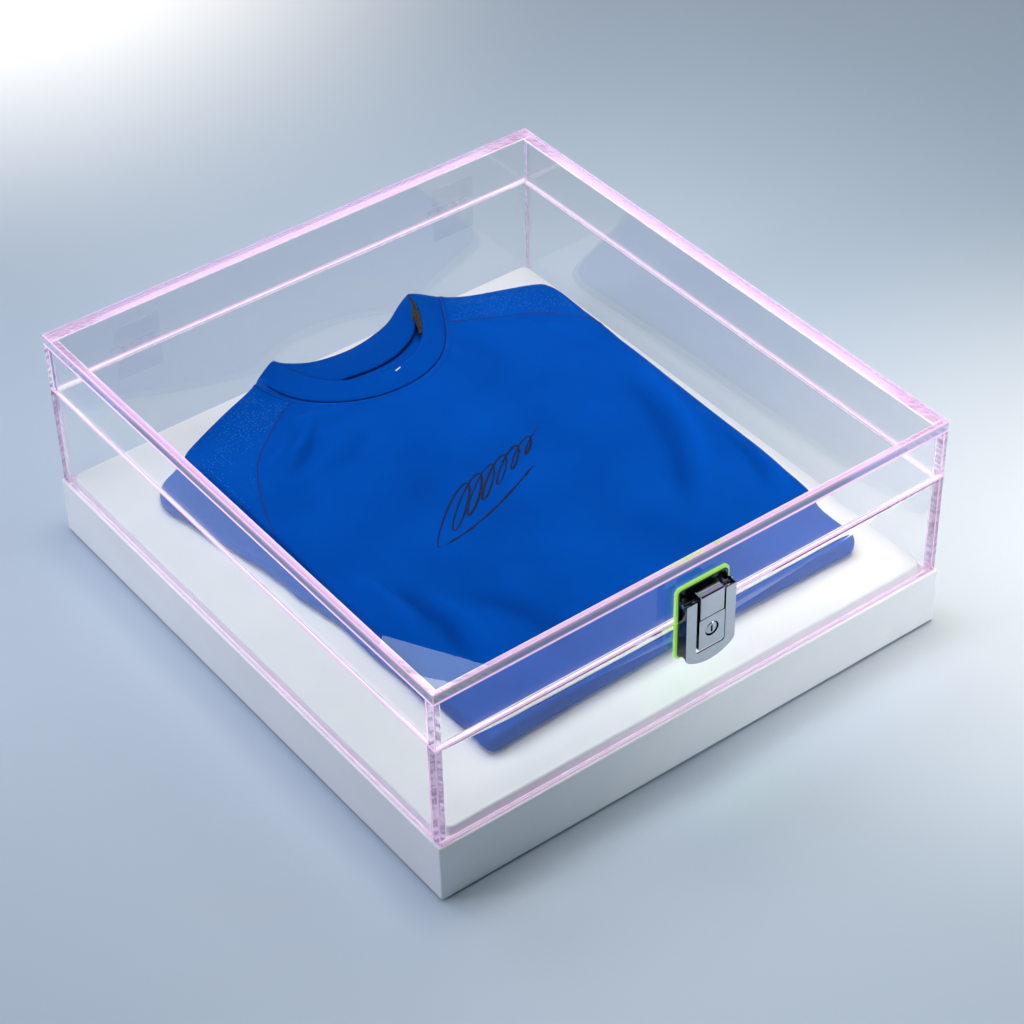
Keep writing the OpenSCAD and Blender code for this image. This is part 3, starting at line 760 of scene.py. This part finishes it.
def curve_through(points, spacing, closed=False):
    """Points about spacing apart along a smooth curve through the given ones."""
    given = [np.array(p, float) for p in points]
    count = len(given)
    path = []
    for i in range(count if closed else count - 1):
        if closed:
            a, b, c, d = (given[(i + k) % count] for k in (-1, 0, 1, 2))
        else:
            a, b, c, d = (given[min(max(i + k, 0), count - 1)] for k in (-1, 0, 1, 2))
        steps = max(2, int(np.linalg.norm(c - b) / spacing))
        for k in range(steps):
            t = k / steps
            path.append(0.5 * (
                2 * b + (c - a) * t + (2 * a - 5 * b + 4 * c - d) * t ** 2
                + (3 * b - a - 3 * c + d) * t ** 3
            ))
    if not closed:
        path.append(given[-1])
    return np.array(path)


def resampled(path, count):
    """The path cut into count points of equal spacing."""
    steps = np.linalg.norm(np.diff(path, axis=0), axis=1)
    length = np.concatenate([[0], np.cumsum(steps)])
    at = np.linspace(0, length[-1], count)
    return np.stack([np.interp(at, length, path[:, i]) for i in range(path.shape[1])], axis=1)


def soft_slab(name, outline, low, high, voxel, squareness=1.0):
    """A slab of cloth made of small even quads. Its sides are round, or squarer the further
    squareness is below 1."""
    steps = 8
    edge = curve_through(outline, 3.0, closed=True)
    following, previous = np.roll(edge, -1, 0), np.roll(edge, 1, 0)
    tangent = following - previous
    tangent /= np.linalg.norm(tangent, axis=1)[:, None]
    area = (edge[:, 0] * following[:, 1] - following[:, 0] * edge[:, 1]).sum() / 2
    inward = np.stack([-tangent[:, 1], tangent[:, 0]], axis=1) * np.sign(area)
    radius, middle = (high - low) / 2, (high + low) / 2
    rings = []
    for k in range(steps + 1):
        angle = math.pi * (k / steps - 0.5)
        inset = radius * (1 - math.cos(angle) ** squareness)
        flat = edge + inward * inset
        for _ in range(int(1.6 * inset)):
            flat = (2 * flat + np.roll(flat, 1, 0) + np.roll(flat, -1, 0)) / 4
        lift = math.copysign(abs(math.sin(angle)) ** squareness, angle)
        rings.append([(x, y, middle + radius * lift) for x, y in flat])
    piece = bpy.data.objects.new(name, mesh_of(name, *loft(rings)))
    scene.collection.objects.link(piece)
    remesh = piece.modifiers.new("even_quads", "REMESH")
    remesh.mode = "VOXEL"
    remesh.voxel_size = voxel * MM
    remesh.use_smooth_shade = True
    smooth = piece.modifiers.new("soft", "SMOOTH")
    smooth.factor, smooth.iterations = 0.5, 6
    mesh = applied(piece).data
    bpy.data.objects.remove(piece)
    return mesh


def points_of(mesh):
    """A mesh's points in millimetres as an array."""
    flat = np.empty(len(mesh.vertices) * 3)
    mesh.vertices.foreach_get("co", flat)
    return flat.reshape(-1, 3) / MM


def set_points(mesh, points):
    mesh.vertices.foreach_set("co", (points * MM).ravel())
    mesh.update()


def smooth_step(value, start, end):
    t = np.clip((value - start) / (end - start), 0, 1)
    return t * t * (3 - 2 * t)


def waves(points, size, seed):
    """Smooth noise between about -1 and 1 at each point, with waves about size wide."""
    shift = Vector((seed * 17.3, seed * 5.1, seed * 9.7))
    return np.array([noise.noise(Vector(p) / size + shift) for p in points])


def crease(plan, start, end, width, height):
    """Height of one soft fold that runs from start to end and fades at both ends."""
    start, along = np.array(start, float), np.array(end, float) - np.array(start, float)
    length = np.linalg.norm(along)
    along /= length
    t = (plan - start) @ along
    bow = 0.08 * length * np.sin(np.clip(t / length, 0, 1) * math.pi)
    across = (plan - start) @ np.array([-along[1], along[0]]) - bow
    fade = smooth_step(t, -0.25 * length, 0.3 * length)
    fade *= 1 - smooth_step(t, 0.7 * length, 1.25 * length)
    return height * fade * np.exp(-(across / width) ** 2)


# ---- jersey: layout, in plan ----

CLOTH_LOW = box_mm("jersey_back_layer")[0][2] + 0.2
CLOTH_HIGH = box_mm("jersey_front_layer")[1][2]
SLEEVE_THICK = 10
TORSO_MIDDLE = 28  # the torso lies a little to the right in the case
NECK_MIDDLE = (33, 236)
COLLAR_TIPS = (-54, 252), (120, 258)
TORSO_OUTLINE = [
    (-175, -200), (-176, -216), (-175.5, -227), (-172, -231), (-160, -231.5), (-60, -227),
    (60, -227), (190, -229), (208, -228), (216, -218), (215, -200), (217, -176), (222, -158),
    (227, -60), (229, 40), (233, 140), (236, 198), (234, 216), (225, 227), (171, 247),
    (140, 261), (122, 268), (104, 266), (72, 251), (39, 243), (10, 242), (-17, 248),
    (-36, 259), (-50, 262), (-66, 259), (-103, 247), (-150, 227), (-170, 217), (-175, 208),
    (-173, 160), (-172, 60), (-174, -60),
]
SLEEVE_OUTLINE = [
    (-172, 211), (-180, 212), (-194, 207), (-205, 197), (-210, 182), (-208, 158),
    (-199, 106), (-189, 56), (-186, 14), (-181, -18), (-177, -44), (-177, -90),
    (-175, -130), (-175, -180), (-171, -206), (-167, -150), (-167, 0), (-167, 150),
]
NECK_EDGE = [  # the collar's upper edge in front, from the left tip to the right one
    (-47, 262, 96), (-40, 249, 93.5), (-31, 231, 91.5), (-18, 213, 90.5), (2, 200, 90),
    (29, 194, 90), (57, 197, 90), (80, 210, 90.5), (95, 228, 91.5), (105, 249, 94),
    (109, 268, 96.5),
]
COLLAR_SEAM = [  # the collar's lower edge in front
    (-68, 259, 82), (-66, 240, 88.5), (-55, 216, 88), (-32, 190, 88), (4, 171, 88),
    (45, 168, 88), (80, 181, 88), (106, 206, 88), (125, 237, 88.5), (133, 254, 87),
    (136, 265, 82),
]
BACK_EDGE = [  # the collar's upper edge behind, from the left tip to the right one
    (-46, 263, 96), (-37, 258, 91.5), (-16, 248, 88.5), (12, 243, 87.5), (39, 244, 87.5),
    (71, 252, 88.5), (95, 265, 92), (108, 269, 96.5),
]
BACK_SEAM = [  # the seam inside the neck
    (-42, 240, 87), (-30, 226, 84), (-12, 217, 82), (10, 213, 81.5), (34, 211, 81.5),
    (59, 215, 82), (84, 227, 84), (100, 244, 88),
]
# The dark tape inside the neck, and the small white mark on the collar in front.
TAPE_EDGE = [(110, 269, 96.6), (105, 249, 94), (96, 229, 91.4), (88, 219, 90)]
TAPE_SEAM = [(101, 268, 92.6), (97, 251, 89), (91, 230.5, 88.6), (85.5, 220.5, 88.2)]
LABEL_EDGE = [(35.5, 187.2), (38.5, 188.0), (42, 189.2)]
RAGLAN_RIGHT = [(124, 222), (142, 212), (160, 202), (192, 184), (218, 157), (233, 131)]
RAGLAN_LEFT = [(-56, 216), (-74, 207), (-90, 195), (-115, 175), (-135, 154), (-155, 118),
               (-166, 90), (-173, 62)]
FOLD_WIDTH, FOLD_HEIGHT = 0.85, 2.3  # scale the folds below
CREASES = [  # start, end, width and height of the folds that show on the chest
    ((-52, 192), (-104, 148), 5, 1.3), ((-60, 178), (-112, 128), 6, -1.1),
    ((-90, 176), (-124, 150), 5, 1.0), ((-30, 180), (-72, 192), 5, 0.8),
    ((-26, 158), (-76, 160), 7, 0.8), ((-55, 148), (-118, 112), 8, 0.9),
    ((-36, 134), (-80, 112), 8, -0.7), ((-100, 110), (-128, 60), 9, 0.7),
    ((-150, -20), (-150, -110), 9, 1.9), ((-134, -50), (-132, -150), 10, -1.8),
    ((-118, -80), (-116, -170), 10, 1.8), ((-90, -90), (-60, -190), 14, -1.6),
    ((216, 60), (152, -110), 14, 2.0), ((196, 40), (130, -110), 14, -1.7),
    ((214, -60), (196, -140), 8, -1.2), ((222, -70), (206, -150), 6, 0.9),
    ((130, 212), (150, 160), 8, 0.8), ((112, 190), (120, 130), 9, -0.6),
    ((180, 170), (212, 100), 9, 0.7), ((40, 160), (60, 60), 26, 0.6),
    ((-20, -60), (60, -200), 24, 0.8), ((60, -90), (120, -210), 22, -0.7),
    ((-8, 120), (-60, 20), 22, -0.6),
]
PEN_START = (-44, -12)


def shape_torso(points):
    """Lowers the shoulders, hollows the neck, lifts the collar's tips and folds the chest."""
    plan, z = points[:, :2], points[:, 2].copy()
    share = np.clip((z - CLOTH_LOW) / (CLOTH_HIGH - CLOTH_LOW), 0, 1)
    x, y = plan[:, 0], plan[:, 1]
    aside = x - TORSO_MIDDLE
    shoulder_drop, side_drop, tip_lift, tip_width, neck_depth = 5.0, 1.5, 8.5, 24, 7.5
    rise = -shoulder_drop * smooth_step(y, 120, 262)
    rise -= side_drop * smooth_step(np.abs(aside), 150, 215)
    for tip_x, tip_y in COLLAR_TIPS:
        rise += tip_lift * np.exp(-((x - tip_x) ** 2 + (y - tip_y) ** 2) / tip_width ** 2)
    fold = np.zeros(len(points))
    for start, end, width, height in CREASES:
        fold += FOLD_HEIGHT * crease(plan, start, end, FOLD_WIDTH * width, height)
    rise += fold
    rise += 0.8 * waves(points * (1, 1, 0), 70, 1) + 0.3 * waves(points * (1, 0.6, 0), 22, 2)
    neck = np.sqrt(((x - NECK_MIDDLE[0]) / 73) ** 2 + ((y - NECK_MIDDLE[1]) / 42) ** 2)
    hollow = 1 - smooth_step(neck, 0.88, 1.06)
    rise = rise * (1 - hollow) - neck_depth * hollow
    points[:, 2] = z + rise * share ** 1.5
    side = np.clip(4 * share * (1 - share), 0, 1)
    edge = 0.9 * waves(points * (1, 1, 0.3), 38, 3) * side
    points[:, 0] += edge * np.sign(aside) * smooth_step(np.abs(aside), 170, 195)
    points[:, 1] -= edge * smooth_step(-y, 205, 222)
    return points, fold * share * (1 - hollow)


def shape_sleeve(points):
    """Lowers the turned-in sleeve towards the front and ripples it."""
    share = (points[:, 2] - CLOTH_LOW) / SLEEVE_THICK
    drop = 1 - 0.35 * smooth_step(-points[:, 1], -60, 160)
    ripple = 0.7 * waves(points * (1, 1, 0), 26, 5)
    points[:, 2] = CLOTH_LOW + share * SLEEVE_THICK * drop + ripple * np.clip(share, 0, 1)
    outside = smooth_step(-points[:, 0], 176, 186)
    points[:, 0] += outside * 3.4 * waves(points * (0, 1, 0), 30, 6)
    return points


def sleeve_share(points):
    """1 on the sleeves, outside the raglan seams, and 0 on the body."""
    share = np.zeros(len(points))
    for seam, outward in ((RAGLAN_RIGHT, 1), (RAGLAN_LEFT, -1)):
        path = curve_through(seam, 4)
        order = np.argsort(path[:, 0])
        line = np.interp(points[:, 0], path[order, 0], path[order, 1])
        beyond = (points[:, 0] - path[0, 0]) * outward > 0
        share[(points[:, 1] > line) & beyond] = 1
    return share


def make_torso():
    mesh = soft_slab("jersey_torso", TORSO_OUTLINE, CLOTH_LOW, CLOTH_HIGH, 2.6, 0.6)
    points, fold = shape_torso(points_of(mesh))
    set_points(mesh, points)
    # The crease heights, from which the knit paints shade in the valleys and light on the ridges.
    mesh.attributes.new("fold", "FLOAT", "POINT").data.foreach_set("value", fold)
    piece = new_piece("jersey_torso", mesh, "case", "jersey_knit", KNIT, SLEEVE_KNIT)
    on_sleeve = sleeve_share(points) > 0
    for face in mesh.polygons:
        face.material_index = int(all(on_sleeve[v] for v in face.vertices))
    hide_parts("jersey_front_layer", "jersey_back_layer")
    return BVHTree.FromObject(piece, bpy.context.evaluated_depsgraph_get())


def make_sleeve():
    mesh = soft_slab("jersey_sleeve", SLEEVE_OUTLINE, CLOTH_LOW, CLOTH_LOW + SLEEVE_THICK, 1.8)
    set_points(mesh, shape_sleeve(points_of(mesh)))
    piece = new_piece("jersey_sleeve", mesh, "case", "jersey_knit", SLEEVE_KNIT)
    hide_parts("jersey_sleeve_fold")


def on_cloth(cloth, x, y, lift=0.0):
    """The point of the cloth's upper side over (x, y), raised by lift, or None beside it."""
    above, least = 200, CLOTH_LOW + 9
    hit = cloth.ray_cast(Vector((x, y, above)) * MM, Vector((0, 0, -1)))[0]
    if hit is None or hit.z / MM < least:
        return None
    return np.array([x, y, hit.z / MM + lift])


def ribbon(name, path, widths, thick, material):
    """A flat cord with a round upper side that follows a path. widths has one for each point."""
    sides = 6
    path = np.array(path)
    ahead = np.gradient(path, axis=0)
    ahead /= np.linalg.norm(ahead, axis=1)[:, None]
    across = np.cross(ahead, (0, 0, 1))
    across /= np.linalg.norm(across, axis=1)[:, None]
    up = np.cross(across, ahead)
    rings = []
    for k in range(len(path)):
        ring = []
        for i in range(sides + 1):
            angle = math.pi * i / sides
            ring.append(path[k] + across[k] * widths[k] / 2 * math.cos(angle)
                        + up[k] * thick * math.sin(angle))
        ring += [path[k] - across[k] * widths[k] * 0.4 - up[k] * thick,
                 path[k] + across[k] * widths[k] * 0.4 - up[k] * thick]
        rings.append(ring)
    new_piece(name, mesh_of(name, *loft(rings)), "case", "jersey_knit", material)


def cloth_line(cloth, name, points, width, thick, material, lift=0.0):
    """A seam that lies on the torso."""
    path = [on_cloth(cloth, x, y, lift) for x, y in curve_through(points, 2.0)]
    path = [p for p in path if p is not None]
    ribbon(name, path, [width] * len(path), thick, material)


def band(name, upper, lower, thick, crown, material, sides=14, count=150):
    """A strip of knit between two curves, with rounded edges and a slight crown."""
    upper = resampled(curve_through(upper, 2.0), count)
    lower = resampled(curve_through(lower, 2.0), count)
    along = np.gradient((upper + lower) / 2, axis=0)
    normal = np.cross(along, lower - upper)
    normal /= np.linalg.norm(normal, axis=1)[:, None]
    normal *= np.sign(normal[:, 2:3])
    rings = []
    for k in range(count):
        ring = []
        for i in range(sides + 1):
            t = i / sides
            swell = crown * 4 * t * (1 - t) + thick / 2 * (1 - (2 * t - 1) ** 8)
            ring.append(upper[k] * (1 - t) + lower[k] * t + normal[k] * swell)
        for i in range(sides - 1, 0, -1):
            t = i / sides
            ring.append(upper[k] * (1 - t) + lower[k] * t - normal[k] * thick / 2)
        rings.append(ring)
    mesh = mesh_of(name, *loft(rings))
    length = np.cumsum(np.linalg.norm(np.diff(upper, axis=0, prepend=upper[:1]), axis=1))
    values = np.repeat(length, len(rings[0]))
    mesh.attributes.new("along", "FLOAT", "POINT").data.foreach_set("value", values)
    return new_piece(name, mesh, "case", "collar_knit", material)


def make_collar(cloth):
    """The ribs in front and behind, the tape inside the neck and the mark on the front rib."""
    seam = []
    for x, y, z in COLLAR_SEAM:
        place = on_cloth(cloth, x, y, 0.2)
        seam.append((x, y, z) if place is None else place)
    front = band("collar_front", NECK_EDGE, seam, 2.2, 0.7, RIB)
    back = band("collar_back", BACK_EDGE, BACK_SEAM, 1.6, 0.5, RIB)
    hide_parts("jersey_collar")
    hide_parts("jersey_collar")
    band("neck_tape", TAPE_EDGE, TAPE_SEAM, 0.8, 0.2, NECK_TAPE, 6, 40)
    rib = BVHTree.FromObject(front, bpy.context.evaluated_depsgraph_get())
    label = [on_cloth(rib, x, y, 0.1) for x, y in LABEL_EDGE]
    band("neck_label", label, [p + (0.4, -1.5, 0) for p in label], 0.4, 0.1, LABEL, 6, 12)


def make_seams(cloth):
    """The raglan seams, and the collar's seam with the strip of knit beside it."""
    cloth_line(cloth, "seam_raglan_right", RAGLAN_RIGHT, 1.5, 0.35, SEAM_THREAD)
    cloth_line(cloth, "seam_raglan_left", RAGLAN_LEFT, 1.5, 0.35, SEAM_THREAD)
    path = curve_through([p[:2] for p in COLLAR_SEAM], 2.0)
    away = path - NECK_MIDDLE
    away /= np.linalg.norm(away, axis=1)[:, None]
    cloth_line(cloth, "seam_collar_cover", (path + away * 3.6)[::4], 4.6, 0.5, KNIT)
    cloth_line(cloth, "seam_collar", (path + away * 1.2)[::4], 1.0, 0.3, COLLAR_THREAD, 0.1)


def make_pen_stroke(cloth):
    """A pen flourish across the chest: a row of plain open loops and a swung underline."""
    ahead, up = (
        np.array([math.cos(math.radians(a)), math.sin(math.radians(a))]) for a in (18, 44)
    )
    # The strokes are (along, up) in millimetres from PEN_START.
    turns, length, pen_width = 6.6, 132, 2.5
    t = np.linspace(0.0, turns, 620)
    height, breadth = 74 - 7.5 * t, 15 - 1.2 * t
    loops = np.stack([
        -14 + length * t / t[-1] - breadth * np.sin(2 * math.pi * t),
        16 - height / 2 * np.cos(2 * math.pi * t),
    ], axis=1)
    swing = np.linspace(0, 1, 90)
    under = np.stack([
        126 - length * swing, -30 - 15 * np.sin(swing * math.pi) + 4 * swing,
    ], axis=1)
    for name, stroke in (("pen_loops", loops), ("pen_underline", under)):
        plan = PEN_START + stroke[:, :1] * ahead + stroke[:, 1:] * up
        path = [on_cloth(cloth, x, y, 0.1) for x, y in plan]
        share = np.linspace(0, 1, len(path))
        ends = np.clip(8 * np.minimum(share, 1 - share) + 0.3, 0, 1)
        widths = pen_width * (0.8 + 0.2 * np.sin(share * 29)) * ends
        ribbon(name, path, widths, 0.14, INK)


# ---- stage ----

def make_floor():
    """A plain square floor."""
    half = 16.0
    mesh = bpy.data.meshes.new("floor")
    corners = [(-half, -half, 0), (half, -half, 0), (half, half, 0), (-half, half, 0)]
    mesh.from_pydata(corners, [], [(0, 1, 2, 3)])
    mesh.materials.append(floor_paint())
    floor = bpy.data.objects.new("floor", mesh)
    scene.collection.objects.link(floor)


def aim(light, place, target):
    light.location = place
    direction = Vector(target) - Vector(place)
    light.rotation_euler = direction.to_track_quat("-Z", "Y").to_euler()


def area_light(name, place, target, size, power, colour, mirrored=False, spin=0):
    """A soft box. Only a mirrored one shows in gloss, as a highlight."""
    data = bpy.data.lights.new(name, "AREA")
    data.shape, data.size, data.size_y = "RECTANGLE", size[0], size[1]
    data.energy, data.color = power, colour
    light = bpy.data.objects.new(name, data)
    light.visible_camera = light.visible_transmission = False
    light.visible_glossy = mirrored
    scene.collection.objects.link(light)
    aim(light, place, target)
    light.rotation_euler.rotate_axis("Z", math.radians(spin))


def pool_light(name, target, height, angle, power, colour=(1, 1, 1), aside=(0, 0), soft=0.3):
    """A spot at some height that shines on a target, moved aside from it in plan."""
    data = bpy.data.lights.new(name, "SPOT")
    data.spot_size, data.spot_blend = math.radians(angle), 1.0
    data.energy, data.color, data.shadow_soft_size = power, colour, soft
    light = bpy.data.objects.new(name, data)
    scene.collection.objects.link(light)
    aim(light, (target[0] + aside[0], target[1] + aside[1], height), target)


def make_world():
    """Dim light all round, pale near the horizon and dark overhead."""
    world = bpy.data.worlds.new("studio")
    scene.world = world
    world.use_nodes = True
    nodes, links = world.node_tree.nodes, world.node_tree.links
    height = nodes.new("ShaderNodeSeparateXYZ")
    links.new(nodes.new("ShaderNodeTexCoord").outputs["Generated"], height.inputs[0])
    fade = nodes.new("ShaderNodeValToRGB")
    links.new(height.outputs["Z"], fade.inputs["Fac"])
    for stop, (place, colour) in zip(fade.color_ramp.elements, (
        (0.22, (0.52, 0.60, 0.72, 1)), (0.62, (0.025, 0.03, 0.04, 1)),
    )):
        stop.position, stop.color = place, colour
    links.new(fade.outputs["Color"], nodes["Background"].inputs["Color"])
    nodes["Background"].inputs["Strength"].default_value = 0.12


def make_lights():
    """Soft boxes, two small ones for the glint on the lid's corner, spots on parts of the case
    and warm pools of light on the floor."""
    area_light("key", (0.22, 0.12, 1.45), (0.05, 0.03, 0.08), (1.1, 1.1), 11, (1.0, 1.0, 0.84))
    area_light("back", (-0.7, 1.0, 2.2), (0, 0, 0), (1.4, 1.4), 25, (0.68, 0.78, 1.0))
    area_light("left", (-2.4, 0.9, 1.4), (0, 0, 0.1), (0.8, 1.8), 22, (0.94, 0.94, 1.0), True)
    area_light("right", (2.4, -0.6, 1.6), (0, 0, 0.1), (0.8, 1.8), 6, (0.85, 0.93, 1.0), True)
    area_light("front", (1.5, -1.3, 0.7), (0.25, -0.25, 0), (0.5, 0.5), 3.8,
               (0.48, 0.84, 1.0), True)
    lid_corner = (-0.242, -0.261, 0.217)
    area_light("glint", (0.623, 1.02, 1.7), lid_corner, (0.19, 0.1), 0.19,
               (0.78, 1.0, 0.95), True, spin=-19)
    area_light("glint_core", (0.605, 1.0, 1.7), lid_corner, (0.1, 0.055), 0.09,
               (1.0, 1.0, 0.9), True, spin=-15)
    pool_light("margin", (0.26, 0.14, 0.09), 2.2, 28, 62)
    pool_light("right_end", (0.18, -0.28, 0.05), 0.28, 26, 26, aside=(0.65, -1.0), soft=0.06)
    pool_light("lime", (0.0, -0.262, 0.064), 0.5, 13, 1.3, (0.3, 1.0, 0.0), (0.0, 0.3), 0.02)
    pool_light("left_end", (-0.27, 0.27, 0.04), 0.5, 20, 30, aside=(-1.0, 0.6))
    pool_light("pool_front", (-0.1, -0.7, 0), 2.0, 34, 34, (1.0, 0.96, 0.9))
    pool_light("pool_left", (0.2, 1.25, 0), 2.2, 24, 370, (1.0, 0.80, 0.61))
    pool_light("pool_left_wide", (0.15, 1.3, 0), 2.2, 34, 85, (1.0, 0.81, 0.55))
    pool_light("pool_right", (0.525, -0.35, 0), 2.0, 19, 290, (1.0, 0.80, 0.59))


make_camera()
make_plinth()
make_platform()
for sheet in SHEETS:
    make_sheet(sheet)
for part, finish in REFINED.items():
    make_refined(part, *finish)
torso = make_torso()
make_sleeve()
make_collar(torso)
make_seams(torso)
make_pen_stroke(torso)
make_floor()
make_world()
make_lights()

scene.view_settings.view_transform = "Standard"
scene.cycles.max_bounces = 28
scene.cycles.transmission_bounces = 24
scene.cycles.glossy_bounces = 12
scene.cycles.transparent_max_bounces = 24
scene.cycles.sample_clamp_indirect = 4.0
